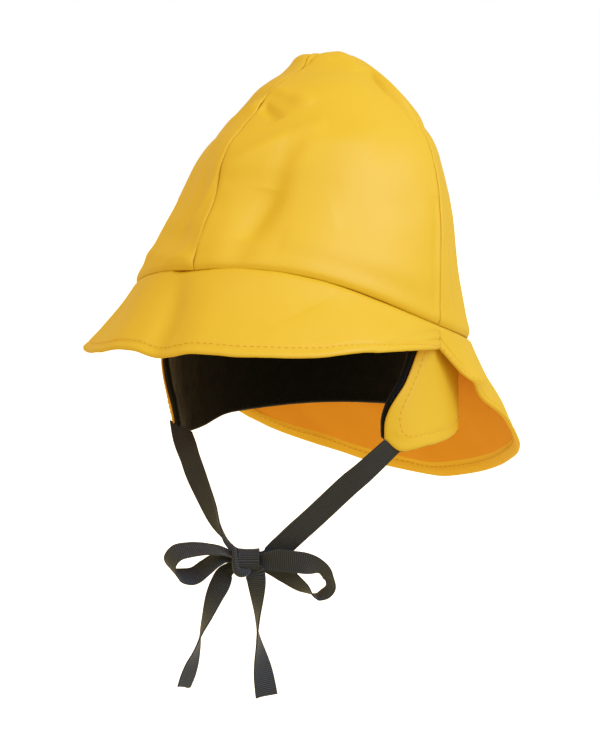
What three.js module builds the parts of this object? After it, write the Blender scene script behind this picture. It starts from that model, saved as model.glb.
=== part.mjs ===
// A child's rain hat of the sou'wester kind, in millimetres.
// +Z is up, the wearer looks along -Y and their left is +X. The origin is the middle of the head opening,
// halfway up the sloping seam between the crown and the brim. The hat stands as it does on a head.
// The crown is four panels of coated rain cloth. A short brim runs round its front and a longer flap covers
// the neck. Under them hangs a band that covers ears and neck and is lined with fleece. Two ribbons sewn to
// its front corners are tied in a bow under the chin.
import * as THREE from "three";
import { RoundedBoxGeometry } from "three/addons/geometries/RoundedBoxGeometry.js";

const degree = Math.PI / 180;

// Walls
const clothThick = 1.2;
const hemThick = 2.4;
const fleeceThick = 2.8;
const ribbonThick = 1;
const seamGap = 0.4;
const liningGap = 0.7;

// Crown, from the brim seam up to the dimple where its panels meet. In each row up is the height of the
// section, pitch lifts its front and lowers its back, dip lowers its sides, arch lifts it between the front
// and the left seam, left and back move its middle, the reaches run from that middle to the four seams, and
// a bulge swells the panel between two seams.
const crownSections = [
  { up: -2.2, pitch: 19.7, dip: 7.4, arch: 5.2, left: 0, back: 0, front: 88, leftSide: 78.5, rear: 85,
    rightSide: 78.5, frontLeft: 0, backLeft: 1, backRight: 1, frontRight: -1 },
  { up: 22, pitch: 10, dip: 3, arch: 0, left: 0, back: 1, front: 84, leftSide: 78.5, rear: 80,
    rightSide: 75, frontLeft: -2, backLeft: -6, backRight: -6, frontRight: -6 },
  { up: 48, pitch: 3, dip: 0, arch: 0, left: 1, back: 4, front: 76, leftSide: 75, rear: 67,
    rightSide: 69, frontLeft: -3, backLeft: -7, backRight: -6, frontRight: -9 },
  { up: 72, pitch: 0, dip: 0, arch: 0, left: 1, back: 8, front: 72, leftSide: 67.5, rear: 54,
    rightSide: 58, frontLeft: -3, backLeft: -7, backRight: -5, frontRight: -11 },
  { up: 89, pitch: 0, dip: 0, arch: 0, left: 2, back: 12, front: 56, leftSide: 54.5, rear: 42,
    rightSide: 48, frontLeft: -1, backLeft: -5.5, backRight: -4, frontRight: -9 },
  { up: 102, pitch: 0, dip: 0, arch: 0, left: 3, back: 15, front: 45, leftSide: 40, rear: 29,
    rightSide: 35, frontLeft: 0, backLeft: -5, backRight: -2, frontRight: -7 },
  { up: 111.2, pitch: 0, dip: 0, arch: 0, left: 4, back: 16.5, front: 25.5, leftSide: 26.5, rear: 19,
    rightSide: 23, frontLeft: 0, backLeft: -2, backRight: 0, frontRight: -2 },
  { up: 118.6, pitch: 0.6, dip: 0, arch: 0, left: 2, back: 16, front: 14, leftSide: 15, rear: 12,
    rightSide: 12, frontLeft: 1, backLeft: 0, backRight: 0, frontRight: 0 },
  { up: 117.2, pitch: 0.3, dip: 0, arch: 0, left: 4, back: 17, front: 7, leftSide: 8, rear: 7,
    rightSide: 7, frontLeft: 0, backLeft: 0, backRight: 0, frontRight: 0 },
  { up: 114.4, pitch: 0, dip: 0, arch: 0, left: 4, back: 17, front: 0.7, leftSide: 0.7, rear: 0.7,
    rightSide: 0.7, frontLeft: 0, backLeft: 0, backRight: 0, frontRight: 0 },
];

// Dents in the crown: turn is degrees from the front towards the wearer's left, share the way up from the
// seam to the dimple, wide and tall how far the dent spreads in degrees and in share, deep how deep it is.
const crownDents = [
  { turn: 18, share: 0.19, wide: 8, tall: 0.1, deep: 2 },
  { turn: 12, share: 0.5, wide: 9, tall: 0.05, deep: 2.5 },
  { turn: -26, share: 0.3, wide: 10, tall: 0.16, deep: 2.5 },
  { turn: 70, share: 0.6, wide: 12, tall: 0.08, deep: 1.6 },
  { turn: 135, share: 0.45, wide: 16, tall: 0.1, deep: 2.5 },
  { turn: -140, share: 0.35, wide: 16, tall: 0.14, deep: 2.5 },
];

// Lower edge of the front brim: turn is degrees from the front towards the wearer's left, reach is measured
// from the Z axis and up is the height of the edge, which waves a little.
const brimEdge = [
  { turn: -90, reach: 78.6, up: -20 },
  { turn: -72, reach: 90, up: -19 },
  { turn: -55, reach: 102.5, up: -20.2 },
  { turn: -38, reach: 109, up: -20.6 },
  { turn: -20, reach: 114.5, up: -19.4 },
  { turn: -6, reach: 117, up: -16.8 },
  { turn: 4, reach: 117.5, up: -18.8 },
  { turn: 12, reach: 117.2, up: -17.2 },
  { turn: 20, reach: 116.5, up: -17.8 },
  { turn: 38, reach: 110, up: -18.6 },
  { turn: 50, reach: 104, up: -17.2 },
  { turn: 72, reach: 90, up: -18 },
  { turn: 90, reach: 78.6, up: -20 },
];
const brimSag = { out: 0.32, down: 0.45 };

// Lower edge of the neck flap, read the same way.
const flapEdge = [
  { turn: 90, reach: 78.6, up: -20 },
  { turn: 105, reach: 86, up: -38 },
  { turn: 120, reach: 99, up: -57 },
  { turn: 135, reach: 110.5, up: -73 },
  { turn: 150, reach: 118, up: -84 },
  { turn: 165, reach: 125, up: -94 },
  { turn: 180, reach: 128, up: -99 },
  { turn: 195, reach: 125, up: -95 },
  { turn: 210, reach: 118, up: -85 },
  { turn: 225, reach: 110, up: -73 },
  { turn: 240, reach: 99, up: -57 },
  { turn: 255, reach: 86, up: -38 },
  { turn: 270, reach: 78.6, up: -20 },
];
const flapSag = { out: 0.44, down: 0.48 };
const hemWidth = 5.5;

// Ear and neck band: its reach at the front, left, right and back from its top (level 0) to its lower edge
// (level 1), and how many degrees from the front its two front edges stand.
const bandLevels = [
  { level: 0, front: 72, left: 75.8, right: 75.7, rear: 82, leftFront: 88, rightFront: 84 },
  { level: 0.2, front: 65, left: 75, right: 75.4, rear: 80, leftFront: 82, rightFront: 76 },
  { level: 0.45, front: 61, left: 75, right: 75.5, rear: 79, leftFront: 76.5, rightFront: 70 },
  { level: 0.68, front: 58, left: 75.5, right: 74, rear: 78, leftFront: 70.6, rightFront: 67.5 },
  { level: 0.86, front: 53, left: 75.7, right: 72.6, rear: 78, leftFront: 68, rightFront: 67.5 },
  { level: 1, front: 47.8, left: 75.7, right: 72, rear: 77, leftFront: 68.5, rightFront: 71.5 },
];
// Height of the band's lower edge, with around in degrees from the front to the wearer's left or right.
const bandEdge = [
  { around: 66, left: -59.5, right: -59.5 },
  { around: 69, left: -62, right: -62 },
  { around: 75, left: -67.6, right: -67.4 },
  { around: 82, left: -66, right: -68 },
  { around: 91, left: -65.2, right: -67.6 },
  { around: 98, left: -64.6, right: -66 },
  { around: 104, left: -64, right: -63.4 },
  { around: 110, left: -63, right: -61.2 },
  { around: 120, left: -61.4, right: -59.8 },
  { around: 150, left: -57, right: -57 },
  { around: 180, left: -56.3, right: -56.3 },
];

// Bow. It faces a little to the wearer's left, and its frame has its origin in the knot: across runs to the
// wearer's left, up is up and toward runs out of the bow's face.
const bowMiddle = new THREE.Vector3(0, -45, -122);
const bowTurn = 35 * degree;
const ribbonWidth = 10.8;
const knot = { across: 10.2, up: 10.6, toward: 8, middleUp: 0.6, round: 2.6, steps: 3 };

// Routes of the ribbon in that frame. share is the part of the full width left where it is gathered, and
// the last three columns are the way that its width points.
const tieLeft = [
  { across: 67.1, up: 57, toward: 18.5, share: 1, wAcross: 0.655, wUp: -0.604, wToward: -0.453 },
  { across: 54.8, up: 44.8, toward: 15, share: 1, wAcross: 0.68, wUp: -0.68, wToward: -0.2 },
  { across: 46.4, up: 37.1, toward: 12, share: 1, wAcross: 0.7, wUp: -0.7, wToward: 0 },
  { across: 32, up: 22.5, toward: 6, share: 1, wAcross: 0.7, wUp: -0.7, wToward: 0 },
  { across: 21.9, up: 12.5, toward: 1, share: 1, wAcross: 0.68, wUp: -0.72, wToward: 0.05 },
  { across: 15, up: 5.4, toward: -3, share: 1, wAcross: 0.64, wUp: -0.77, wToward: 0 },
  { across: 9.6, up: 2, toward: -4.6, share: 0.75, wAcross: 0.4, wUp: -0.9, wToward: 0 },
  { across: 5.9, up: 1.2, toward: -3, share: 0.5, wAcross: 0.2, wUp: -0.98, wToward: 0 },
];
const tieRight = [
  { across: -35.3, up: 57.8, toward: -55.8, share: 1, wAcross: 0.8, wUp: 0.1, wToward: -0.5 },
  { across: -33.3, up: 50.9, toward: -51, share: 1, wAcross: 0.93, wUp: 0.26, wToward: -0.1 },
  { across: -30.5, up: 44.2, toward: -45, share: 1, wAcross: 0.86, wUp: 0.31, wToward: 0.35 },
  { across: -27.2, up: 36.8, toward: -37, share: 1, wAcross: 0.86, wUp: 0.33, wToward: 0.38 },
  { across: -22.3, up: 27.3, toward: -27, share: 1, wAcross: 0.68, wUp: 0.31, wToward: 0.66 },
  { across: -17.2, up: 18.2, toward: -16, share: 1, wAcross: 0.47, wUp: 0.27, wToward: 0.84 },
  { across: -13, up: 12, toward: -9, share: 0.95, wAcross: 0.2, wUp: 0.14, wToward: 0.97 },
  { across: -9.8, up: 7.5, toward: -4.6, share: 0.8, wAcross: 0, wUp: 0, wToward: 1 },
  { across: -5.9, up: 4.4, toward: -2.6, share: 0.4, wAcross: -0.1, wUp: 0.1, wToward: 1 },
];
const loopLeft = [
  { across: -6, up: 2, toward: 2, share: 0.5, wAcross: -0.1, wUp: 0.3, wToward: -0.95 },
  { across: -13.9, up: 5.4, toward: 5, share: 0.95, wAcross: -0.06, wUp: 0.22, wToward: -0.97 },
  { across: -20.4, up: 7, toward: 8.6, share: 1, wAcross: -0.1, wUp: 0.34, wToward: -0.93 },
  { across: -26.9, up: 7.1, toward: 11.5, share: 1, wAcross: -0.2, wUp: 0.5, wToward: -0.85 },
  { across: -33.5, up: 5.6, toward: 12.6, share: 1, wAcross: -0.42, wUp: 0.52, wToward: -0.74 },
  { across: -36.8, up: 0.7, toward: 11.5, share: 1, wAcross: -0.55, wUp: 0.38, wToward: -0.74 },
  { across: -34.3, up: -5, toward: 8, share: 1, wAcross: -0.5, wUp: 0.46, wToward: -0.73 },
  { across: -29.3, up: -6.9, toward: 5.5, share: 1, wAcross: -0.34, wUp: 0.6, wToward: -0.72 },
  { across: -25.2, up: -6.4, toward: 4.2, share: 1, wAcross: -0.33, wUp: 0.6, wToward: -0.73 },
  { across: -20.5, up: -3, toward: 3.2, share: 1, wAcross: -0.33, wUp: 0.54, wToward: -0.77 },
  { across: -15.9, up: 0.5, toward: 2.2, share: 0.95, wAcross: -0.3, wUp: 0.46, wToward: -0.84 },
  { across: -11.3, up: 2, toward: 0.8, share: 0.7, wAcross: -0.2, wUp: 0.45, wToward: -0.87 },
  { across: -6, up: 1, toward: 0, share: 0.5, wAcross: -0.2, wUp: 0.6, wToward: -0.75 },
];
const loopRight = [
  { across: 6, up: 0.2, toward: 2, share: 0.7, wAcross: 0, wUp: 1, wToward: 0.1 },
  { across: 14.2, up: 0.6, toward: 4.4, share: 1, wAcross: 0.02, wUp: 1, wToward: 0.1 },
  { across: 20.6, up: 0.3, toward: 5.8, share: 1, wAcross: 0.1, wUp: 0.99, wToward: 0.1 },
  { across: 26.8, up: -0.5, toward: 6, share: 1, wAcross: 0.2, wUp: 0.96, wToward: 0.15 },
  { across: 32, up: -2.5, toward: 4.4, share: 1, wAcross: 0.35, wUp: 0.75, wToward: 0.5 },
  { across: 36.3, up: -5.8, toward: 2, share: 1, wAcross: 0.35, wUp: 0.4, wToward: 0.85 },
  { across: 38.4, up: -11, toward: 0, share: 1, wAcross: 0.45, wUp: 0.1, wToward: 0.89 },
  { across: 37.3, up: -15.1, toward: -2.4, share: 1, wAcross: 0.3, wUp: -0.1, wToward: 0.95 },
  { across: 34.2, up: -17.4, toward: -4.4, share: 1, wAcross: 0.1, wUp: -0.2, wToward: 0.97 },
  { across: 30.9, up: -17.8, toward: -5, share: 1, wAcross: -0.05, wUp: 0.1, wToward: 0.99 },
  { across: 26.3, up: -14.6, toward: -5, share: 1, wAcross: 0.25, wUp: 0.5, wToward: 0.83 },
  { across: 21.7, up: -11.2, toward: -4.6, share: 1, wAcross: 0.35, wUp: 0.65, wToward: 0.67 },
  { across: 16.7, up: -7.2, toward: -4, share: 1, wAcross: 0.35, wUp: 0.8, wToward: 0.5 },
  { across: 11.3, up: -3.9, toward: -2.8, share: 0.85, wAcross: 0.2, wUp: 0.93, wToward: 0.3 },
  { across: 5.8, up: -1.4, toward: -0.8, share: 0.6, wAcross: 0, wUp: 1, wToward: 0.1 },
];
const tailLeft = [
  { across: -5.6, up: -3.2, toward: -2, share: 0.45, wAcross: 0.6, wUp: -0.7, wToward: 0.1 },
  { across: -9.7, up: -4.8, toward: -2.2, share: 0.6, wAcross: 0.72, wUp: -0.55, wToward: 0.2 },
  { across: -12.1, up: -7.4, toward: -1.4, share: 0.85, wAcross: 0.75, wUp: -0.4, wToward: 0.3 },
  { across: -14.1, up: -12.4, toward: 0, share: 1, wAcross: 0.8, wUp: -0.28, wToward: 0.45 },
  { across: -16.5, up: -17.5, toward: 1, share: 1, wAcross: 0.7, wUp: -0.25, wToward: 0.65 },
  { across: -19.5, up: -25.5, toward: 2, share: 1, wAcross: 0.44, wUp: -0.16, wToward: 0.88 },
  { across: -21.9, up: -32, toward: 2, share: 1, wAcross: 0.18, wUp: -0.08, wToward: 0.98 },
  { across: -23.3, up: -36.8, toward: 2, share: 1, wAcross: 0, wUp: 0, wToward: 1 },
  { across: -24.9, up: -43.4, toward: 2, share: 1, wAcross: -0.25, wUp: 0.08, wToward: 0.96 },
  { across: -27.1, up: -49.8, toward: 2, share: 1, wAcross: -0.5, wUp: 0.2, wToward: 0.84 },
  { across: -29.1, up: -55.6, toward: 2, share: 1, wAcross: -0.58, wUp: 0.22, wToward: 0.78 },
  { across: -31, up: -60.9, toward: 2, share: 1, wAcross: -0.54, wUp: 0.2, wToward: 0.82 },
];
const tailRight = [
  { across: 2.9, up: -5.2, toward: 2.6, share: 0.85, wAcross: 0.93, wUp: 0, wToward: 0.37 },
  { across: 3.5, up: -7.9, toward: 3.6, share: 1, wAcross: 0.87, wUp: 0, wToward: 0.5 },
  { across: 3.8, up: -11.2, toward: 4, share: 1, wAcross: 0.8, wUp: 0, wToward: 0.6 },
  { across: 4, up: -18.2, toward: 4, share: 1, wAcross: 0.55, wUp: 0, wToward: 0.83 },
  { across: 4.1, up: -25.8, toward: 4, share: 1, wAcross: 0.25, wUp: 0, wToward: 0.97 },
  { across: 4.2, up: -34.3, toward: 4, share: 1, wAcross: 0, wUp: 0, wToward: 1 },
  { across: 4.9, up: -40.1, toward: 4, share: 1, wAcross: -0.24, wUp: 0, wToward: 0.97 },
  { across: 5.8, up: -46.4, toward: 4, share: 1, wAcross: -0.56, wUp: 0, wToward: 0.83 },
  { across: 7, up: -54.6, toward: 4, share: 1, wAcross: -0.86, wUp: 0, wToward: 0.5 },
  { across: 8.4, up: -64.3, toward: 4, share: 1, wAcross: -0.98, wUp: 0, wToward: 0.17 },
];

const rainCloth = { color: 0xefbf2e, roughness: 0.5, metalness: 0 };
const fleece = { color: 0x0c0c0d, roughness: 0.95, metalness: 0 };
const ribbonCloth = { color: 0x2b2b2b, roughness: 0.8, metalness: 0 };

// All columns of a table at one value of its key column, on a smooth curve through its rows.
function along(rows, key, at) {
  let i = 0;
  while (i < rows.length - 2 && at > rows[i + 1][key]) i++;
  const span = rows[i + 1][key] - rows[i][key];
  const t = THREE.MathUtils.clamp((at - rows[i][key]) / span, 0, 1);
  const slope = (column, k) => {
    const before = rows[Math.max(k - 1, 0)];
    const after = rows[Math.min(k + 1, rows.length - 1)];
    return (after[column] - before[column]) / (after[key] - before[key]);
  };
  const found = {};
  for (const column of Object.keys(rows[0])) {
    found[column] =
      rows[i][column] * (2 * t ** 3 - 3 * t ** 2 + 1) +
      slope(column, i) * span * (t ** 3 - 2 * t ** 2 + t) +
      rows[i + 1][column] * (3 * t ** 2 - 2 * t ** 3) +
      slope(column, i + 1) * span * (t ** 3 - t ** 2);
  }
  return found;
}

// The same table with a column step that runs evenly from 0 in its first row to 1 in its last.
const stepped = (rows) => rows.map((row, i) => ({ ...row, step: i / (rows.length - 1) }));

// How far two directions in degrees lie apart, from -180 to 180.
const apart = (a, b) => THREE.MathUtils.euclideanModulo(a - b + 180, 360) - 180;

// A point of the crown's outer face: turn is the angle from the front towards the wearer's left, and share
// the way up from the seam to the dimple.
const crownRows = stepped(crownSections);
const bulges = ["frontLeft", "backLeft", "backRight", "frontRight"];
function crownFace(turn, share) {
  const s = along(crownRows, "step", share);
  const quarter = Math.floor(THREE.MathUtils.euclideanModulo(turn / degree, 360) / 90);
  const ahead = Math.cos(turn) / (Math.cos(turn) > 0 ? s.front : s.rear);
  const aside = Math.sin(turn) / (Math.sin(turn) > 0 ? s.leftSide : s.rightSide);
  let reach = 1 / Math.hypot(ahead, aside) + s[bulges[quarter]] * Math.abs(Math.sin(2 * turn));
  for (const dent of crownDents) {
    const off = apart(turn / degree, dent.turn) / dent.wide;
    const over = (share - dent.share) / dent.tall;
    reach -= dent.deep * Math.exp(-(off ** 2) - over ** 2);
  }
  return new THREE.Vector3(
    s.left + reach * Math.sin(turn),
    s.back - reach * Math.cos(turn),
    s.up +
      s.pitch * Math.cos(turn) -
      s.dip * Math.sin(turn) ** 2 +
      s.arch * 2 * Math.max(Math.sin(turn), 0) * Math.max(Math.cos(turn), 0) ** 2,
  );
}

// A point of the brim's or the neck flap's upper face: rise 0 is its lower edge and 1 its seam.
function brimFace(edge, sag, turn, rise) {
  const row = along(edge, "turn", turn / degree);
  const top = crownFace(turn, 0);
  top.z -= seamGap;
  const end = new THREE.Vector3(row.reach * Math.sin(turn), -row.reach * Math.cos(turn), row.up);
  const bend = new THREE.Vector3(
    THREE.MathUtils.lerp(top.x, end.x, sag.out),
    THREE.MathUtils.lerp(top.y, end.y, sag.out),
    THREE.MathUtils.lerp(top.z, end.z, sag.down),
  );
  return new THREE.QuadraticBezierCurve3(end, bend, top).getPoint(rise);
}

// A point of the ear and neck band's outer face: share runs from its left front edge round the back.
function bandFace(share, rise) {
  const level = along(bandLevels, "level", 1 - rise);
  const turn = THREE.MathUtils.lerp(level.leftFront, 360 - level.rightFront, share) * degree;
  const aside = Math.sin(turn) / (Math.sin(turn) > 0 ? level.left : level.right);
  const ahead = Math.cos(turn) / (Math.cos(turn) > 0 ? level.front : level.rear);
  const reach = 1 / Math.hypot(ahead, aside);
  const edge = along(bandEdge, "around", Math.abs(apart(turn / degree, 0)));
  const low = Math.sin(turn) > 0 ? edge.left : edge.right;
  const high = crownFace(turn, 0).z - clothThick - seamGap;
  const height = THREE.MathUtils.lerp(low, high, rise);
  return new THREE.Vector3(reach * Math.sin(turn), -reach * Math.cos(turn), height);
}

// A point of the ribbon's middle face: share runs along its route, and rise from one edge to the other.
const bowAcross = new THREE.Vector3(Math.cos(bowTurn), Math.sin(bowTurn), 0);
const bowUp = new THREE.Vector3(0, 0, 1);
const bowToward = new THREE.Vector3(Math.sin(bowTurn), -Math.cos(bowTurn), 0);
const inBow = (across, up, toward) =>
  new THREE.Vector3()
    .addScaledVector(bowAcross, across)
    .addScaledVector(bowUp, up)
    .addScaledVector(bowToward, toward);
function ribbonFace(rows, share, rise) {
  const nudge = 1e-3;
  const middle = (at) => {
    const row = along(rows, "step", at);
    return inBow(row.across, row.up, row.toward);
  };
  const row = along(rows, "step", share);
  const forward = middle(Math.min(share + nudge, 1)).sub(middle(Math.max(share - nudge, 0))).normalize();
  const width = inBow(row.wAcross, row.wUp, row.wToward);
  width.addScaledVector(forward, -width.dot(forward)).normalize();
  return middle(share)
    .addScaledVector(width, (rise - 0.5) * ribbonWidth * row.share)
    .add(bowMiddle);
}

// A closed wall of cloth behind face(u, v), with u running round or along it and v across it. levels are
// the steps of v, behind is the gap to the face, and thick the wall there as a function of v.
function clothWall({ face, columns, levels, thick, behind = 0 }) {
  const position = [];
  const nudge = 0.01;
  for (const depth of [() => behind, (v) => behind + thick(v)]) {
    for (const v of levels) {
      for (let i = 0; i <= columns; i++) {
        const u = i / columns;
        const alongU = face(u + nudge, v).sub(face(u - nudge, v));
        const alongV = face(u, v + nudge).sub(face(u, v - nudge));
        const outward = alongU.cross(alongV).normalize();
        position.push(...face(u, v).addScaledVector(outward, -depth(v)));
      }
    }
  }
  const top = levels.length - 1;
  const inner = (columns + 1) * levels.length;
  const at = (i, j) => j * (columns + 1) + i;
  const index = [];
  const quad = (a, b, c, d) => index.push(a, b, c, a, c, d);
  for (let i = 0; i < columns; i++) {
    for (let j = 0; j < top; j++) {
      quad(at(i, j), at(i + 1, j), at(i + 1, j + 1), at(i, j + 1));
      quad(inner + at(i, j + 1), inner + at(i + 1, j + 1), inner + at(i + 1, j), inner + at(i, j));
    }
    quad(inner + at(i, 0), inner + at(i + 1, 0), at(i + 1, 0), at(i, 0));
    quad(at(i, top), at(i + 1, top), inner + at(i + 1, top), inner + at(i, top));
  }
  for (let j = 0; j < top; j++) {
    quad(at(0, j), at(0, j + 1), inner + at(0, j + 1), inner + at(0, j));
    quad(inner + at(columns, j), inner + at(columns, j + 1), at(columns, j + 1), at(columns, j));
  }
  const geometry = new THREE.BufferGeometry();
  geometry.setAttribute("position", new THREE.Float32BufferAttribute(position, 3));
  geometry.setIndex(index);
  geometry.computeVertexNormals();
  return geometry;
}

const evenly = (count) => Array.from({ length: count + 1 }, (_, j) => j / count);
const even = (wall) => () => wall;

const hat = new THREE.Group();
function add(name, geometry, look) {
  const mesh = new THREE.Mesh(geometry, new THREE.MeshStandardMaterial(look));
  mesh.name = name;
  hat.add(mesh);
  return mesh;
}

// A turn between two seams, kept half a seam gap off each of them at that reach.
function betweenSeams(start, end, share, reach) {
  const room = seamGap / 2 / reach;
  return THREE.MathUtils.lerp(start * degree + room, end * degree - room, share);
}

// Crown panels, each from one seam to the next
const panels = { front_left: 0, back_left: 90, back_right: 180, front_right: 270 };
const panelGrid = { columns: 12, levels: evenly(20), thick: even(clothThick) };
for (const [name, start] of Object.entries(panels)) {
  const face = (u, v) => crownFace(betweenSeams(start, start + 90, u, along(crownRows, "step", v).front), v);
  add("crown_" + name, clothWall({ face, ...panelGrid }), rainCloth);
}

// Front brim and neck flap, each with a hem folded under its lower edge. The lengths run from that edge to
// the crown, and the wall thins from the hem to one layer over a step of the length.
const brimSeamReach = 76;
const brimLength = 46;
const flapLength = 80;
const hemStep = 0.03;
const aboveHem = [0.3, 0.45, 0.6, 0.75, 0.88, 1];
function hemmed(length) {
  const fold = hemWidth / length;
  return {
    columns: 36,
    levels: [0, fold / 2, fold, fold + hemStep, ...aboveHem],
    thick: (v) => (v < fold + hemStep / 2 ? hemThick : clothThick),
  };
}
const brim = (u, v) => brimFace(brimEdge, brimSag, betweenSeams(-90, 90, u, brimSeamReach), v);
const flap = (u, v) => brimFace(flapEdge, flapSag, betweenSeams(90, 270, u, brimSeamReach), v);
add("front_brim", clothWall({ face: brim, ...hemmed(brimLength) }), rainCloth);
add("neck_flap", clothWall({ face: flap, ...hemmed(flapLength) }), rainCloth);

// Ear and neck band and its lining
const bandGrid = { face: bandFace, columns: 40, levels: evenly(8) };
add("ear_band", clothWall({ ...bandGrid, thick: even(clothThick) }), rainCloth);
add(
  "ear_band_lining",
  clothWall({ ...bandGrid, thick: even(fleeceThick), behind: clothThick + liningGap }),
  fleece,
);

// Ribbons
const ribbons = {
  tie_left: { route: tieLeft, columns: 14 },
  tie_right: { route: tieRight, columns: 16 },
  bow_loop_left: { route: loopLeft, columns: 28 },
  bow_loop_right: { route: loopRight, columns: 32 },
  bow_tail_left: { route: tailLeft, columns: 20 },
  bow_tail_right: { route: tailRight, columns: 20 },
};
for (const [name, { route, columns }] of Object.entries(ribbons)) {
  const rows = stepped(route);
  const face = (u, v) => ribbonFace(rows, u, v);
  const wall = { face, columns, levels: evenly(1), thick: even(ribbonThick), behind: -ribbonThick / 2 };
  add(name, clothWall(wall), ribbonCloth);
}

// Knot, a round-cornered block where the ribbon winds over itself
const knotBlock = new RoundedBoxGeometry(knot.across, knot.toward, knot.up, knot.steps, knot.round);
const bowKnot = add("bow_knot", knotBlock, ribbonCloth);
bowKnot.rotation.z = bowTurn;
bowKnot.position.copy(bowMiddle).addScaledVector(bowUp, knot.middleUp);

export default hat;
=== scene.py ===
import math

import bmesh
import bpy
import numpy as np
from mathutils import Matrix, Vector, noise


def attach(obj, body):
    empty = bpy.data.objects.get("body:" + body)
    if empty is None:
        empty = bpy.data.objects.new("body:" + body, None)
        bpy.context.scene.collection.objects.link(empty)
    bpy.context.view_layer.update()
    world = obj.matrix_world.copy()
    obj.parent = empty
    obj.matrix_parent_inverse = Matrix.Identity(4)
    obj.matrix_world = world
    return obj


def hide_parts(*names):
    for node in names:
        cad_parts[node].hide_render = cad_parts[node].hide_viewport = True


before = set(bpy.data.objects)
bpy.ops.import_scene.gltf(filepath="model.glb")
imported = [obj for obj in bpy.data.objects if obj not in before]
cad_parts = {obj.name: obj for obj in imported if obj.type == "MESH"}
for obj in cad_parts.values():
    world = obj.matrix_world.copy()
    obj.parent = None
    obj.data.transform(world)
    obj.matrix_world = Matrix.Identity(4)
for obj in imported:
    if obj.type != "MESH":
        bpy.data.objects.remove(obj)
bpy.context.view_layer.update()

# Camera, floor and light. The camera looks at the hat from the wearer's left front and a little above, as
# the photograph does. The hat hangs in the air as it would on a head, over a pale floor in soft daylight.
mm = 0.001
view_turn = math.radians(35)
view_rise = math.radians(5)
view_middle = Vector((0, 0, -36.8 * mm))
view_distance = 1.0
picture_height = 750
pixels_per_mm = 2.04
shift_pixels = -3
sensor = 36
view_back = Vector((
    math.sin(view_turn) * math.cos(view_rise),
    -math.cos(view_turn) * math.cos(view_rise),
    math.sin(view_rise),
))
bpy.ops.object.camera_add(location=view_middle + view_back * view_distance)
camera = bpy.context.object
camera.name = "camera"
camera.rotation_euler = (-view_back).to_track_quat("-Z", "Y").to_euler()
camera.data.sensor_width = sensor
camera.data.lens = pixels_per_mm * view_distance / mm / picture_height * sensor
camera.data.shift_x = shift_pixels / picture_height
bpy.context.scene.camera = camera
bpy.context.scene.view_settings.view_transform = "Standard"


class Finish:
    """A socket of a material, so that sums of sockets are written as sums of numbers are."""

    def __init__(self, tree, socket=None):
        self.tree = tree
        self.socket = socket

    def node(self, kind, settings=None, output=0, **values):
        """Adds a node. values go to its sockets, named with _ for a space, or in0, in1 by their place."""
        made = self.tree.nodes.new(kind)
        for name, value in (settings or {}).items():
            if name == "stops":
                ramp = made.color_ramp
                while len(ramp.elements) < len(value):
                    ramp.elements.new(0.5)
                for element, (place, colour) in zip(ramp.elements, value):
                    element.position = place
                    element.color = colour
            else:
                setattr(made, name, value)
        for name, value in values.items():
            if name[:2] == "in" and name[2:].isdigit():
                socket = made.inputs[int(name[2:])]
            else:
                socket = made.inputs[name.replace("_", " ")]
            if isinstance(value, Finish):
                self.tree.links.new(value.socket, socket)
            else:
                socket.default_value = value
        return Finish(self.tree, made.outputs[output])

    def math(self, operation, *values):
        sockets = {f"in{i}": value for i, value in enumerate(values)}
        return self.node("ShaderNodeMath", {"operation": operation}, **sockets)

    def __add__(self, other):
        return self.math("ADD", self, other)

    def __sub__(self, other):
        return self.math("SUBTRACT", self, other)

    def __mul__(self, other):
        return self.math("MULTIPLY", self, other)

    def __rsub__(self, other):
        return self.math("SUBTRACT", other, self)

    __radd__ = __add__
    __rmul__ = __mul__

    def blend(self, low, high):
        """The colour low where this value is 0 and high where it is 1."""
        return self.node("ShaderNodeMix", {"data_type": "RGBA"}, output=2, in0=self, in6=low, in7=high)


def new_finish(name, **constants):
    """A new material with its constant values set, its shader, and a Finish to start its sums from."""
    material = bpy.data.materials.new(name)
    material.use_nodes = True
    shader = material.node_tree.nodes["Principled BSDF"]
    for socket, value in constants.items():
        shader.inputs[socket.replace("_", " ")].default_value = value
    return material, shader, Finish(material.node_tree)


floor_wide = 400
floor_drop = 320 * mm
bpy.ops.mesh.primitive_plane_add(size=floor_wide, location=(0, 0, -floor_drop))
floor = bpy.context.object
floor.name = "floor"
pale, _, _ = new_finish(
    "pale_floor",
    Base_Color=(0.86, 0.86, 0.86, 1),
    Roughness=0.9,
    Emission_Color=(1, 1, 1, 1),
    Emission_Strength=0.9,
)
floor.data.materials.append(pale)
floor.visible_diffuse = False
floor.visible_glossy = False

# The air round the hat is seen as plain white, but lights the hat a little less and warmer than that.
air_seen = (1, 1, 1, 1)
air_light = (1, 0.73, 0.35, 1)
air_strength = 0.86
world = bpy.data.worlds.new("daylight")
world.use_nodes = True
sky = Finish(world.node_tree)
seen = sky.node("ShaderNodeLightPath", output="Is Camera Ray")
backdrop = world.node_tree.nodes["Background"]
strength = seen * (1 - air_strength) + air_strength
world.node_tree.links.new(seen.blend(air_light, air_seen).socket, backdrop.inputs["Color"])
world.node_tree.links.new(strength.socket, backdrop.inputs["Strength"])
bpy.context.scene.world = world

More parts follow.
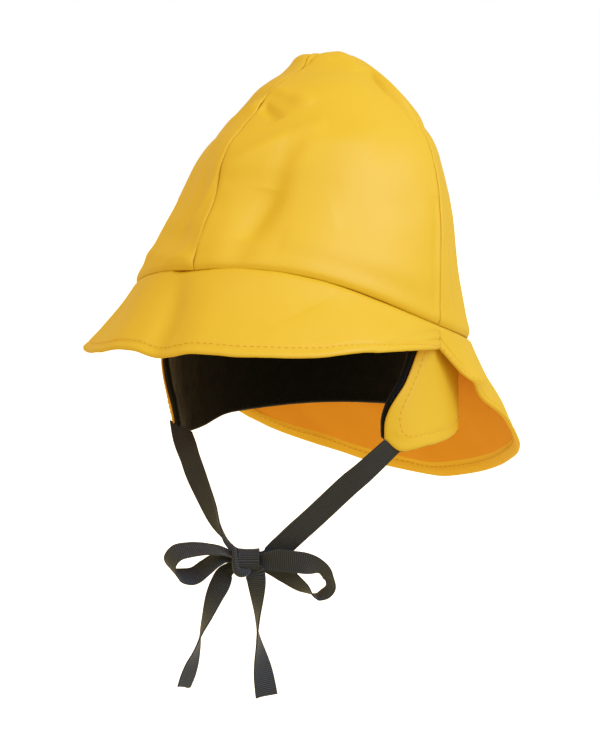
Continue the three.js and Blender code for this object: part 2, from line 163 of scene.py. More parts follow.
# Each lamp by its turn in degrees from the front towards the wearer's left, its rise in degrees, its distance
# and size in metres, its power in watts and its colour.
lamps = {
    "key_lamp": {"turn": 88, "rise": 28, "away": 1.6, "size": 1.2, "power": 11.5, "colour": (0.8, 1.03, 1.5)},
    "fill_lamp": {"turn": 15, "rise": 42, "away": 1.8, "size": 1.2, "power": 4.5, "colour": (1, 0.97, 0.85)},
}
for name, lamp in lamps.items():
    turn = math.radians(lamp["turn"])
    rise = math.radians(lamp["rise"])
    towards = Vector((math.sin(turn) * math.cos(rise), -math.cos(turn) * math.cos(rise), math.sin(rise)))
    bpy.ops.object.light_add(type="AREA", location=towards * lamp["away"])
    light = bpy.context.object
    light.name = name
    light.rotation_euler = (-towards).to_track_quat("-Z", "Y").to_euler()
    light.data.size = lamp["size"]
    light.data.energy = lamp["power"]
    light.data.color = lamp["colour"]


# Ribbons. Two lengths of black grosgrain are sewn into the front corners of the ear band and tied in a bow
# under the chin. Each runs from its corner to the knot, round one loop and out again as a tail.
ribbon_width = 10.8 * mm
ribbon_thick = 0.7 * mm
rib_pitch = 0.92 * mm
rib_height = 0.13 * mm
rings_per_rib = 4
bow_middle = Vector((0, -45 * mm, -122 * mm))
bow_turn = math.radians(35)
bow_axes = np.array([
    (math.cos(bow_turn), math.sin(bow_turn), 0),
    (0, 0, 1),
    (math.sin(bow_turn), -math.cos(bow_turn), 0),
])

# The routes in millimetres from the knot. A row says how far across to the wearer's left, up, and toward the
# viewer of the bow a point lies, then the share of the width that is left where the ribbon is gathered, and
# then the way that the width points: across, up and toward.
tie_left = [
    (67.1, 57, 18.5, 1, 0.655, -0.604, -0.453),
    (54.8, 44.8, 15, 1, 0.68, -0.68, -0.2),
    (46.4, 37.1, 12, 1, 0.7, -0.7, 0),
    (32, 22.5, 6, 1, 0.7, -0.7, 0),
    (21.9, 12.5, 1, 1, 0.68, -0.72, 0.05),
    (15, 5.4, -3, 1, 0.64, -0.77, 0),
    (9.6, 2, -4.6, 0.75, 0.4, -0.9, 0),
    (5.9, 1.2, -3, 0.5, 0.2, -0.98, 0),
]
tie_right = [
    (-35.3, 57.8, -55.8, 1, 0.8, 0.1, -0.5),
    (-33.3, 50.9, -51, 1, 0.93, 0.26, -0.1),
    (-30.5, 44.2, -45, 1, 0.86, 0.31, 0.35),
    (-27.2, 36.8, -37, 1, 0.86, 0.33, 0.38),
    (-22.3, 27.3, -27, 1, 0.68, 0.31, 0.66),
    (-17.2, 18.2, -16, 1, 0.47, 0.27, 0.84),
    (-13, 12, -9, 0.95, 0.2, 0.14, 0.97),
    (-9.8, 7.5, -4.6, 0.8, 0, 0, 1),
    (-5.9, 4.4, -2.6, 0.4, -0.1, 0.1, 1),
]
loop_left = [
    (-6, 2, 2, 0.5, -0.1, 0.3, -0.95),
    (-13.9, 5.4, 5, 0.95, -0.06, 0.22, -0.97),
    (-20.4, 7, 8.6, 1, -0.1, 0.34, -0.93),
    (-26.9, 7.1, 11.5, 1, -0.2, 0.5, -0.85),
    (-33.5, 5.6, 12.6, 1, -0.42, 0.52, -0.74),
    (-36.8, 0.7, 11.5, 1, -0.55, 0.38, -0.74),
    (-34.3, -5, 8, 1, -0.5, 0.46, -0.73),
    (-29.3, -6.9, 5.5, 1, -0.34, 0.6, -0.72),
    (-25.2, -6.4, 4.2, 1, -0.33, 0.6, -0.73),
    (-20.5, -3, 3.2, 1, -0.33, 0.54, -0.77),
    (-15.9, 0.5, 2.2, 0.95, -0.3, 0.46, -0.84),
    (-11.3, 2, 0.8, 0.7, -0.2, 0.45, -0.87),
    (-6, 1, 0, 0.5, -0.2, 0.6, -0.75),
]
loop_right = [
    (6, 0.2, 2, 0.7, 0, 1, 0.1),
    (14.2, 0.6, 4.4, 1, 0.02, 1, 0.1),
    (20.6, 0.3, 5.8, 1, 0.1, 0.99, 0.1),
    (26.8, -0.5, 6, 1, 0.2, 0.96, 0.15),
    (32, -2.5, 4.4, 1, 0.35, 0.75, 0.5),
    (36.3, -5.8, 2, 1, 0.35, 0.4, 0.85),
    (38.4, -11, 0, 1, 0.45, 0.1, 0.89),
    (37.3, -15.1, -2.4, 1, 0.3, -0.1, 0.95),
    (34.2, -17.4, -4.4, 1, 0.1, -0.2, 0.97),
    (30.9, -17.8, -5, 1, -0.05, 0.1, 0.99),
    (26.3, -14.6, -5, 1, 0.25, 0.5, 0.83),
    (21.7, -11.2, -4.6, 1, 0.35, 0.65, 0.67),
    (16.7, -7.2, -4, 1, 0.35, 0.8, 0.5),
    (11.3, -3.9, -2.8, 0.85, 0.2, 0.93, 0.3),
    (5.8, -1.4, -0.8, 0.6, 0, 1, 0.1),
]
tail_left = [
    (-5.6, -3.2, -2, 0.45, 0.6, -0.7, 0.1),
    (-9.7, -4.8, -2.2, 0.6, 0.72, -0.55, 0.2),
    (-12.1, -7.4, -1.4, 0.85, 0.75, -0.4, 0.3),
    (-14.1, -12.4, 0, 1, 0.8, -0.28, 0.45),
    (-16.5, -17.5, 1, 1, 0.7, -0.25, 0.65),
    (-19.5, -25.5, 2, 1, 0.44, -0.16, 0.88),
    (-21.9, -32, 2, 1, 0.18, -0.08, 0.98),
    (-23.3, -36.8, 2, 1, 0, 0, 1),
    (-24.9, -43.4, 2, 1, -0.25, 0.08, 0.96),
    (-27.1, -49.8, 2, 1, -0.5, 0.2, 0.84),
    (-29.1, -55.6, 2, 1, -0.58, 0.22, 0.78),
    (-31, -60.9, 2, 1, -0.54, 0.2, 0.82),
]
tail_right = [
    (2.9, -5.2, 2.6, 0.85, 0.93, 0, 0.37),
    (3.5, -7.9, 3.6, 1, 0.87, 0, 0.5),
    (3.8, -11.2, 4, 1, 0.8, 0, 0.6),
    (4, -18.2, 4, 1, 0.55, 0, 0.83),
    (4.1, -25.8, 4, 1, 0.25, 0, 0.97),
    (4.2, -34.3, 4, 1, 0, 0, 1),
    (4.9, -40.1, 4, 1, -0.24, 0, 0.97),
    (5.8, -46.4, 4, 1, -0.56, 0, 0.83),
    (7, -54.6, 4, 1, -0.86, 0, 0.5),
    (8.4, -64.3, 4, 1, -0.98, 0, 0.17),
]
inside_knot = {
    "going_left": [(0, 2, -0.6, 0.4, 0.3, -0.9, 0.2)],
    "going_right": [(0, 2, -1, 0.4, 0.2, 0.9, 0.3)],
    "back_to_right": [(-1, -1.6, 0.6, 0.45, 0.6, -0.5, 0.5)],
    "back_to_left": [(0, -2, -1.2, 0.4, 0.3, 0.9, 0)],
}


def joined(*stretches):
    """The rows of stretches that follow each other, with the width of each turned to the one before it."""
    rows = []
    for stretch in stretches:
        part = np.array(stretch, float)
        if rows and np.dot(rows[-1][4:], part[0, 4:]) < 0:
            part[:, 4:] *= -1
        rows.extend(part)
    return np.array(rows)


def curve(rows, knots, at):
    """Rows that stand at the given knots, read at other places on a smooth curve through them."""
    slopes = np.gradient(rows, knots, axis=0)
    i = np.clip(np.searchsorted(knots, at, side="right") - 1, 0, len(knots) - 2)
    span = (knots[i + 1] - knots[i]).reshape((-1,) + (1,) * (rows.ndim - 1))
    t = (at - knots[i]).reshape(span.shape) / span
    return (
        rows[i] * (2 * t**3 - 3 * t**2 + 1)
        + slopes[i] * span * (t**3 - 2 * t**2 + t)
        + rows[i + 1] * (3 * t**2 - 2 * t**3)
        + slopes[i + 1] * span * (t**3 - t**2)
    )


def unit(vectors):
    """The same directions, each with a length of 1."""
    return vectors / np.linalg.norm(vectors, axis=-1, keepdims=True)


def new_mesh(name, points, faces, uv=None):
    """A smooth mesh object from arrays, with a UV in metres for each point if uv is given."""
    mesh = bpy.data.meshes.new(name)
    mesh.from_pydata(np.asarray(points).reshape(-1, 3).tolist(), [], [list(map(int, f)) for f in faces])
    if uv is not None:
        corner = np.zeros(len(mesh.loops), np.int32)
        mesh.loops.foreach_get("vertex_index", corner)
        layer = mesh.uv_layers.new(name="cloth")
        layer.data.foreach_set("uv", np.asarray(uv).reshape(-1, 2)[corner].astype(np.float32).ravel())
    mesh.shade_smooth()
    piece = bpy.data.objects.new(name, mesh)
    bpy.context.collection.objects.link(piece)
    return piece


def tube(rings, caps=True):
    """Faces that join rings of points in a row, each ring closed on itself."""
    count, around = rings.shape[:2]
    faces = []
    for j in range(count - 1):
        for i in range(around):
            k = (i + 1) % around
            faces.append((j * around + i, j * around + k, (j + 1) * around + k, (j + 1) * around + i))
    if caps:
        faces.append(tuple(range(around))[::-1])
        faces.append(tuple(range((count - 1) * around, count * around)))
    return faces


# A ribbon's section: how far out each point lies in half widths, and up in half thicknesses. The woven edge
# is a little thicker than the ribbed middle.
ribbon_section = np.array([
    (-1, 0), (-0.98, 0.8), (-0.92, 1.15), (-0.84, 0.9), (-0.5, 1),
    (0, 1), (0.5, 1), (0.84, 0.9), (0.92, 1.15), (0.98, 0.8),
    (1, 0), (0.98, -0.8), (0.92, -1.15), (0.84, -0.9), (0.5, -1),
    (0, -1), (-0.5, -1), (-0.84, -0.9), (-0.92, -1.15), (-0.98, -0.8),
])

# The ribs stop short of the woven edges. Where the ribbon is gathered it is cupped, deepest at its middle.
ribbed_part = 0.9
route_steps = 4000
least_share = 0.3
cup_deep = ribbon_width / 5
cup_level = 0.4
end_power = 24


def length_to(line):
    """How far along a line of points each of them lies."""
    return np.concatenate([[0], np.cumsum(np.linalg.norm(np.diff(line, axis=0), axis=1))])


def ribbon_rings(rows, slant, cut):
    """Rings of a ribbon along its rows, their centres and their UV. slant and cut shape its two ends."""
    knots = np.arange(len(rows), dtype=float)
    fine = np.linspace(0, knots[-1], route_steps)
    run = length_to(curve(rows[:, :3], knots, fine))
    count = int(round(run[-1] * mm / rib_pitch * rings_per_rib))
    at = np.interp(np.linspace(0, run[-1], count), run, fine)
    table = curve(rows, knots, at)
    middle = table[:, :3] @ bow_axes * mm + np.array(bow_middle)
    forward = unit(np.gradient(middle, axis=0))
    width = table[:, 4:] @ bow_axes
    width = unit(width - forward * (width * forward).sum(1, keepdims=True))
    face = np.cross(forward, width)
    share = np.clip(table[:, 3:4], least_share, 1)
    out, up = ribbon_section.T
    rib = np.cos(np.arange(count) * 2 * np.pi / rings_per_rib)[:, None] * rib_height
    rib = rib * (np.abs(out) < ribbed_part)
    cupped = np.sqrt(1 - share**2) * cup_deep * (out**2 - cup_level)
    side = out * share * ribbon_width / 2
    proud = up * (ribbon_thick / 2 + rib) + cupped
    rings = middle[:, None] + width[:, None] * side[..., None] + face[:, None] * proud[..., None]
    gone = np.linspace(0, 1, count)[:, None]
    ends = gone**end_power * cut(out) + (1 - gone) ** end_power * slant * out
    rings += forward[:, None] * (ends * mm)[..., None]
    distance = np.linspace(0, run[-1], count) * mm
    uv = np.stack(np.broadcast_arrays(side + ribbon_width / 2, distance[:, None]), axis=-1)
    return rings, middle, uv


def places_on_cloth(start):
    """The place on the cloth from the piece's own UV map, and its parts across and along the cloth."""
    place = start.node("ShaderNodeTexCoord", output="UV")
    split = start.node("ShaderNodeSeparateXYZ", in0=place).socket.node
    return place, Finish(start.tree, split.outputs["X"]), Finish(start.tree, split.outputs["Y"])


grosgrain, shader, start = new_finish(
    "grosgrain",
    Roughness=0.72,
    Sheen_Weight=0.35,
    Sheen_Roughness=0.5,
    Sheen_Tint=(0.72, 0.88, 1, 1),
    Specular_IOR_Level=0.35,
)
place, across, along = places_on_cloth(start)
yarn_pitch = 0.35 * mm
rib_share = 0.8
yarn_share = 0.1
mottle_share = 0.1
# The ribs show in the colour as well as in the bump: the furrows between them are painted darker, as painted
# shade, and their crests paler, as painted light. The yarns and the mottle are the ribbon's own unevenness.
ribs = start.math("COSINE", along * (2 * math.pi / rib_pitch))
yarns = start.math("SINE", across * (2 * math.pi / yarn_pitch))
mottle = start.node("ShaderNodeTexNoise", Vector=place, Scale=900.0, Detail=2.0)
ridge = start.math("POWER", ribs * 0.5 + 0.5, 2.0)
weave_and_rib_shade = ridge * rib_share + (yarns * 0.5 + 0.5) * yarn_share + mottle * mottle_share
dark_yarn_and_furrow_shade = (0.001, 0.0012, 0.0018, 1)
pale_yarn_and_crest_light = (0.049, 0.067, 0.101, 1)
start.tree.links.new(weave_and_rib_shade.blend(dark_yarn_and_furrow_shade, pale_yarn_and_crest_light).socket, shader.inputs["Base Color"])
bump = start.node("ShaderNodeBump", Height=weave_and_rib_shade, Strength=0.5, Distance=0.1 * mm)
start.tree.links.new(bump.socket, shader.inputs["Normal"])

# slant and cut give the shape of the sewn and of the free end in millimetres, and length is in metres.
ribbons = {
    "ribbon_left": {
        "rows": joined(
            tie_left, inside_knot["going_left"], loop_left, inside_knot["back_to_right"], tail_right
        ),
        "slant": 0,
        "cut": lambda out: 0.7 * out**2 + 0.2 * out,
        "length": 0.26,
        "stands_for": ("tie_left", "bow_loop_left", "bow_tail_right"),
    },
    "ribbon_right": {
        "rows": joined(
            tie_right, inside_knot["going_right"], loop_right, inside_knot["back_to_left"], tail_left
        ),
        "slant": 3.6,
        "cut": lambda out: 0.5 * np.sin(out * 3),
        "length": 0.27,
        "stands_for": ("tie_right", "bow_loop_right", "bow_tail_left"),
    },
}
for name, made in ribbons.items():
    rings, middle, uv = ribbon_rings(made["rows"], made["slant"], made["cut"])
    piece = new_mesh(name, rings, tube(rings), uv)
    piece.data.materials.append(grosgrain)
    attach(piece, "root")
    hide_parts(*made["stands_for"])
    made.update(piece=piece, path=middle)

# Knot. One ribbon is wound once round both, flat over the front. The far tie comes down beside it on the
# wearer's right, turns under it as a round fold and goes up again behind.
# The wrap's half sizes, its thickness and how far up it sits, in millimetres.
wrap = {"half_across": 5.1, "half_up": 5.0, "half_toward": 5.0, "thick": 0.8, "up": 0.5}
wrap_rings = 29
wrap_around = 144
wrap_ribs = 36
wrap_square = 0.75
waist_drawn = 0.07
selvedge_high = 0.14
selvedge_at = 0.93
selvedge_wide = 0.06
wrap_ribbed_part = 0.86


def hump(distance, wide):
    """1 where the distance is 0, and less on both sides of it over the given width."""
    return np.exp(-((distance / wide) ** 2))


across_wrap = np.linspace(-1, 1, wrap_rings)[:, None]
turn = np.linspace(0, 2 * math.pi, wrap_around, endpoint=False)[None]
round_up = np.sign(np.sin(turn)) * np.abs(np.sin(turn)) ** wrap_square
round_toward = np.sign(np.cos(turn)) * np.abs(np.cos(turn)) ** wrap_square
waist = 1 - waist_drawn * np.cos(across_wrap * math.pi / 2)
selvedge = selvedge_high * hump(np.abs(across_wrap) - selvedge_at, selvedge_wide)
rib_lift = np.cos(turn * wrap_ribs) * rib_height / mm * (np.abs(across_wrap) < wrap_ribbed_part)
walls = []
for depth in (0, wrap["thick"]):
    proud = rib_lift + selvedge if depth == 0 else 0
    up = round_up * (wrap["half_up"] * waist - depth + proud) + wrap["up"]
    toward = round_toward * (wrap["half_toward"] * waist - depth + proud)
    walls.append(np.stack(np.broadcast_arrays(across_wrap * wrap["half_across"], up, toward), axis=-1))
rings = np.concatenate([walls[0], walls[1][::-1]])
points = rings @ bow_axes * mm + np.array(bow_middle)
count = len(points)
faces = tube(points, caps=False)
for i in range(wrap_around):
    k = (i + 1) % wrap_around
    faces.append(((count - 1) * wrap_around + i, (count - 1) * wrap_around + k, k, i))
rib_turn = np.broadcast_to(turn * wrap_ribs / (2 * math.pi) * rib_pitch, (count, wrap_around))
uv = np.stack([rings[..., 0] * mm + wrap["half_across"] * mm, rib_turn], axis=-1)

# The fold beside and under the wrap. A row says how far across, up and toward its middle lies, and then half
# its thickness and half its depth, in millimetres.
knot_fold = np.array([
    (-6.8, 6.2, 1.6, 0.4, 1.6),
    (-6.7, 4.6, 3.0, 1.1, 2.3),
    (-6.5, 1.4, 4.2, 1.45, 2.6),
    (-6.2, -2.2, 4.4, 1.6, 2.7),
    (-5.2, -4.6, 4.0, 2.0, 2.7),
    (-3.4, -5.4, 3.4, 2.3, 2.7),
    (-1.4, -5.0, 2.6, 2.0, 2.4),
    (0.2, -4.0, 1.6, 1.4, 2.0),
])
fold_rings = 40
fold_around = 20
fold_half_round = 2.4 * mm
knots = np.arange(len(knot_fold), dtype=float)
rows = curve(knot_fold, knots, np.linspace(0, knots[-1], fold_rings))
middle = rows[:, :3]
forward = unit(np.gradient(middle, axis=0))
deep_way = unit(np.array([0, 0, 1.0]) - forward * forward[:, 2:3])
thin_way = np.cross(deep_way, forward)
turn = np.linspace(0, 2 * math.pi, fold_around, endpoint=False)[None, :, None]
fold_points = (
    middle[:, None]
    + np.cos(turn) * thin_way[:, None] * rows[:, None, 3:4]
    + np.sin(turn) * deep_way[:, None] * rows[:, None, 4:5]
)
fold_faces = [tuple(k + count * wrap_around for k in face) for face in tube(fold_points)]
run = length_to(middle) * mm
fold_uv = np.stack(np.broadcast_arrays(np.sin(turn[..., 0]) * fold_half_round, run[:, None]), axis=-1)
fold_points = fold_points @ bow_axes * mm + np.array(bow_middle)
knot = new_mesh(
    "bow_knot_wrap",
    np.concatenate([points.reshape(-1, 3), fold_points.reshape(-1, 3)]),
    faces + fold_faces,
    np.concatenate([uv.reshape(-1, 2), fold_uv.reshape(-1, 2)]),
)
knot.data.materials.append(grosgrain)
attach(knot, "root")
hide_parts("bow_knot")

# Crown. Four panels of coated rain cloth are sewn together along the front, the back and both sides. Each is
# one sheet laid on its panel of the frame, drawn in along its seams and pressed into the folds it hangs in.
cloth_thick = 1.1 * mm
crown_cell = 0.8 * mm
# A place inside the crown that its cloth faces away from, and the middle of the dimple where its panels meet.
crown_inside = Vector((2, 8, 20)) * mm
crown_dimple = np.array([4, 17, 114.4]) * mm
merge_within = 0.001 * mm
fold_limit = math.radians(45)
rim_round = 0.4


def outer_points(node, outward):
    """The outer face of a cloth wall of the frame, as rows of points from its lower edge up."""
    wall = bmesh.new()
    wall.from_mesh(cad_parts[node].data)
    bmesh.ops.remove_doubles(wall, verts=wall.verts, dist=merge_within)
    seed = max(wall.faces, key=lambda f: f.normal.dot(outward(f.calc_center_median()).normalized()))
    kept = {seed}
    reached = [seed]
    while reached:
        for e in reached.pop().edges:
            if e.calc_face_angle(math.pi) < fold_limit:
                found = [f for f in e.link_faces if f not in kept]
                kept.update(found)
                reached.extend(found)
    bmesh.ops.delete(wall, geom=[f for f in wall.faces if f not in kept], context="FACES")
    corners = {v for v in wall.verts if v.is_boundary and len(v.link_edges) < 4}
    at = min((v for v in corners if len(v.link_edges) == 3), key=lambda v: v.co.z)
    sides = []
    for _ in range(4):
        side = [at]
        while len(side) == 1 or at not in corners:
            at = next(corner.link_loop_next.vert for corner in at.link_loops if corner.edge.is_boundary)
            side.append(at)
        sides.append(side)
    row_of = steps_from(sides[0])
    column_of = steps_from(sides[3])
    points = np.zeros((max(row_of.values()) + 1, max(column_of.values()) + 1, 3))
    for v in wall.verts:
        points[row_of[v], column_of[v]] = v.co
    wall.free()
    return points


def steps_from(line):
    """How many edges each point of a mesh lies from a line of its points."""
    steps = {v: 0 for v in line}
    reached = list(line)
    while reached:
        found = []
        for v in reached:
            for e in v.link_edges:
                other = e.other_vert(v)
                if other not in steps:
                    steps[other] = steps[v] + 1
                    found.append(other)
        reached = found
    return steps


def finer(points, cell):
    """The same sheet with points about a cell apart, on smooth curves through the given ones."""
    for axis in (0, 1):
        points = np.moveaxis(points, axis, 0)
        gaps = np.linalg.norm(np.diff(points, axis=0), axis=-1).mean(1)
        knots = np.concatenate([[0], np.cumsum(gaps)])
        points = curve(points, knots, np.linspace(0, knots[-1], int(round(knots[-1] / cell)) + 1))
        points = np.moveaxis(points, 0, axis)
    return points


def run_along(points, axis):
    """How far along the cloth each point lies from the sheet's first column (axis 1) or row (axis 0)."""
    gaps = np.linalg.norm(np.diff(points, axis=axis), axis=-1)
    start = np.zeros_like(np.take(gaps, [0], axis))
    return np.concatenate([start, np.cumsum(gaps, axis)], axis)


def from_end(run, axis):
    """How far along the cloth each point lies from the sheet's last column or row."""
    return np.take(run, [-1], axis) - run


def outward_of(points):
    """The way out of the cloth at each point."""
    return unit(np.cross(np.gradient(points, axis=1), np.gradient(points, axis=0)))


def uneven(points, size, shift=0.0):
    """Smooth noise between -1 and 1 over points, with bumps of the given size."""
    flat = points.reshape(-1, 3) / size + shift
    return np.array([noise.noise(p) for p in flat]).reshape(points.shape[:-1])


def waves(points, rows):
    """Soft unevenness in millimetres. A row says how high its bumps are, how wide, and where they start."""
    return sum(high * uneven(points, size, shift) for high, size, shift in rows)


def beside(distance, line):
    """A line beside an edge of the cloth: how far from it, how high in millimetres, and how wide."""
    away, high, wide = line
    return high * hump(distance - away, wide)


def drawn_out(points, left, far, wide):
    """The sheet with its two side edges moved on, away from its middle, as far as given."""
    sideways = unit(np.gradient(points, axis=1))
    reach = far * (hump(from_end(left, 1), wide) - hump(left, wide))
    return points + sideways * reach[..., None]


def folded(left, up, folds):
    """How far the folds lift each point of a sheet, in millimetres. left and up are its place on the cloth.

    A fold runs from one place on the cloth to another. It is a dent where its height is below 0."""
    lift = np.zeros_like(left)
    for from_left, from_up, to_left, to_up, high, wide in folds:
        along = np.array([to_left - from_left, to_up - from_up])
        share = ((left / mm - from_left) * along[0] + (up / mm - from_up) * along[1]) / along.dot(along)
        share = np.clip(share, 0, 1)
        taper = np.sqrt(4 * share * (1 - share))
        aside = np.hypot(left / mm - from_left - share * along[0], up / mm - from_up - share * along[1])
        lift += high * taper * hump(aside, wide)
    return lift


def cloth(name, outer, thick, looks, node, hem_rows=0):
    """A closed wall of cloth behind its outer points, round at its edges, that stands for a node.

    Over the first hem_rows the cloth is folded under, so the third look, its coated face, shows on the inner
    side.
    That look is painted brighter and more orange than the outer face, as painted light that reaches the hem
    from below."""
    rows, columns = outer.shape[:2]
    thick = np.broadcast_to(thick, (rows, columns))
    outward = outward_of(outer)
    inner = outer - outward * thick[..., None]
    edge = np.concatenate([
        np.arange(columns),
        np.arange(1, rows) * columns + columns - 1,
        (rows - 1) * columns + np.arange(columns - 2, -1, -1),
        np.arange(rows - 2, 0, -1) * columns,
    ])
    outer_edge = outer.reshape(-1, 3)[edge]
    inner_edge = inner.reshape(-1, 3)[edge]
    forward = np.roll(outer_edge, -1, 0) - np.roll(outer_edge, 1, 0)
    beyond = unit(np.cross(forward, outward.reshape(-1, 3)[edge]))
    rim = (outer_edge + inner_edge) / 2 + beyond * thick.reshape(-1, 1)[edge] * rim_round
    count = rows * columns
    j, i = np.meshgrid(np.arange(rows - 1), np.arange(columns - 1), indexing="ij")
    a = (j * columns + i).ravel()
    front = np.stack([a, a + 1, a + columns + 1, a + columns], axis=1)
    k = np.arange(len(edge))
    n = np.roll(k, -1)
    faces = [
        front,
        np.stack([edge[n], edge[k], 2 * count + k, 2 * count + n], axis=1),
        front[:, ::-1] + count,
        np.stack([count + edge[k], count + edge[n], 2 * count + n, 2 * count + k], axis=1),
    ]
    uv = np.stack([run_along(outer, 1), run_along(outer, 0)], axis=-1).reshape(-1, 2)
    points = np.concatenate([outer.reshape(-1, 3), inner.reshape(-1, 3), rim])
    piece = new_mesh(name, points, np.concatenate(faces), np.concatenate([uv, uv, uv[edge]]))
    for look in looks:
        piece.data.materials.append(look)
    inner_look = np.where(j.ravel() < hem_rows, 2, 1)
    rim_look = np.where((k < columns) & (hem_rows > 0), 2, 1)
    look_of = [np.zeros(len(front)), np.zeros(len(k)), inner_look, rim_look]
    piece.data.polygons.foreach_set("material_index", np.concatenate(look_of).astype(np.int32))
    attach(piece, "root")
    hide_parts(node)


coat_roughness = 0.42
dull_share = 0.14
grain_share = 0.06


def coated_face(name, deep, clear):
    """The smooth coated side of the cloth, clouded a little between a deep and a clear yellow."""
    material, shader, start = new_finish(name, Specular_IOR_Level=0.6)
    where = start.node("ShaderNodeTexCoord", output="Object")
    clouds = start.node("ShaderNodeTexNoise", Vector=where, Scale=28.0, Detail=3.0)
    grain = start.node("ShaderNodeTexNoise", Vector=where, Scale=2600.0, Detail=2.0)
    dull = start.node("ShaderNodeTexNoise", Vector=where, Scale=70.0, Detail=4.0)
    start.tree.links.new(clouds.blend(deep, clear).socket, shader.inputs["Base Color"])
    roughness = dull * dull_share + grain * grain_share + coat_roughness
    start.tree.links.new(roughness.socket, shader.inputs["Roughness"])
    skin = start.node("ShaderNodeBump", Height=grain, Strength=0.08, Distance=0.05 * mm)
    start.tree.links.new(skin.socket, shader.inputs["Normal"])
    return material


rain_cloth = coated_face("rain_cloth", deep=(0.700, 0.490, 0.014, 1), clear=(0.745, 0.535, 0.034, 1))
# The coated face where it is folded under at the hems: the same cloth, painted brighter and more orange as
# painted light that reaches the hem from below.
hem_face_painted_light = coated_face("hem_face_painted_light", deep=(0.94, 0.60, 0.014, 1), clear=(0.97, 0.65, 0.022, 1))

# The inner side of the same cloth is its uncoated knit, in a deeper orange.
knit_back, shader, start = new_finish("knit_back", Roughness=0.75, Specular_IOR_Level=0.25)
_, across, along = places_on_cloth(start)
knit_pitch = 0.55 * mm
wales = start.math("SINE", across * (2 * math.pi / knit_pitch))
courses = start.math("SINE", along * (2 * math.pi / knit_pitch))
knit = wales * courses * 0.5 + 0.5
back_shadow = (0.88, 0.40, 0.024, 1)
back_light = (0.96, 0.47, 0.045, 1)
start.tree.links.new(knit.blend(back_shadow, back_light).socket, shader.inputs["Base Color"])
loops = start.node("ShaderNodeBump", Height=knit, Strength=0.4, Distance=0.08 * mm)
start.tree.links.new(loops.socket, shader.inputs["Normal"])

# The folds of each panel in millimetres: from left, from up, to left, to up, how high, how wide. left runs
# over the cloth from its edge nearer the wearer's right on the front panels, and from the other edge on the
# back ones. up runs from the brim.
crown_folds = {
    "crown_front_left": [
        (32, 72, 24, 14, -2.2, 6),
        (26, 40, 20, -10, -1.5, 7),
        (-8, 40, 40, 78, 1.7, 6),
        (28, 67, 70, 74, 0.8, 9),
        (-4, 97, 16, 80, -2.6, 2.6),
        (0, 104, 26, 90, 1.5, 3.5),
        (-6, 116, 6, 142, -1.6, 1.6),
        (-2, 22, -2, 66, -1.2, 2.4),
        (38, 134, 92, 94, -1.6, 1.1),
        (40, 138, 96, 98, 2.4, 3),
        (40, 14, 125, 18, 1.2, 8),
        (60, 30, 118, 68, -0.9, 12),
        (112, 60, 128, 4, -1, 3.5),
        (4, 152, 34, 132, 1.2, 8),
    ],
    "crown_front_right": [
        (90, 6, 46, 76, 1.9, 7),
        (112, 4, 76, 68, -2, 6),
        (104, 22, 98, 66, 1.8, 3),
        (70, 12, 140, 3, 1.4, 3.5),
        (74, 23, 136, 12, -1.5, 4),
        (44, 0, 26, 90, -1, 10),
        (56, 76, 80, 108, 1.4, 5),
        (46, 84, 70, 120, -1.2, 6),
    ],
    "crown_back_left": [
        (22, 6, 10, 84, -1.4, 6),
        (42, 0, 34, 110, 1.6, 9),
        (72, 16, 58, 96, -1.8, 9),
        (2, 90, 28, 118, -1.4, 4),
        (94, 4, 84, 70, 1.4, 8),
    ],
    "crown_back_right": [
        (32, 6, 24, 96, 1.6, 9),
        (62, 4, 50, 88, -1.7, 9),
        (96, 14, 78, 112, 1.4, 7),
    ],
}

# How far each panel sinks at its seams in millimetres. The edges of two panels ride over those that sink.
crown_seam_sink = {
    "crown_front_left": 1.0,
    "crown_front_right": 0.25,
    "crown_back_left": 0.25,
    "crown_back_right": 1.0,
}

# A line along an edge has its distance from the edge, its height in millimetres and its width. Near the seams
# the folds grow flat, the cloth puckers, and the side edges close up to their neighbours.
seam_wide = 0.8 * mm
seam_close = 0.22 * mm
seam_close_wide = 1 * mm
seam_flat = 0.8
seam_flat_wide = 2 * mm
brim_draw = (0, -1.1, 1.2 * mm)
brim_swell = (4 * mm, 0.5, 3.5 * mm)
crown_waves = [(0.35, 30 * mm, 3.0), (0.12, 12 * mm, 7.0)]
pucker_size = 8 * mm
pucker_reach = 6 * mm
pucker_high = 0.35
dimple_close = 1.1 * mm
dimple_wide = 1.2 * mm


def crown_panel(name):
    """One crown panel, drawn in along its side seams and round its lower edge, and closed at the dimple."""
    points = finer(outer_points(name, lambda place: place - crown_inside), crown_cell)
    outward = outward_of(points)
    left = run_along(points, 1)
    up = run_along(points, 0)
    to_seam = np.minimum(left, from_end(left, 1))
    lift = (
        -crown_seam_sink[name] * hump(to_seam, seam_wide)
        + beside(up, brim_draw)
        + beside(up, brim_swell)
        + waves(points, crown_waves)
        + uneven(points, pucker_size) * np.exp(-to_seam / pucker_reach) * pucker_high
        + folded(left, up, crown_folds[name]) * (1 - seam_flat * hump(to_seam, seam_flat_wide))
    )
    points = drawn_out(points + outward * (lift * mm)[..., None], left, seam_close, seam_close_wide)
    to_dimple = unit(crown_dimple - points[-1].mean(0))
    points = points + to_dimple * (dimple_close * hump(from_end(up, 0), dimple_wide))[..., None]
    looks = [rain_cloth, knit_back]
    cloth(name + "_cloth", points, cloth_thick, looks, name)


for name in crown_folds:
    crown_panel(name)

# Brim and neck flap. Two shaped sheets hang from the crown's seam, one from side to side round the front
# and a longer one round the back. Their lower edges are folded under and sewn down with one line of thread.
sheet_cell = 0.9 * mm
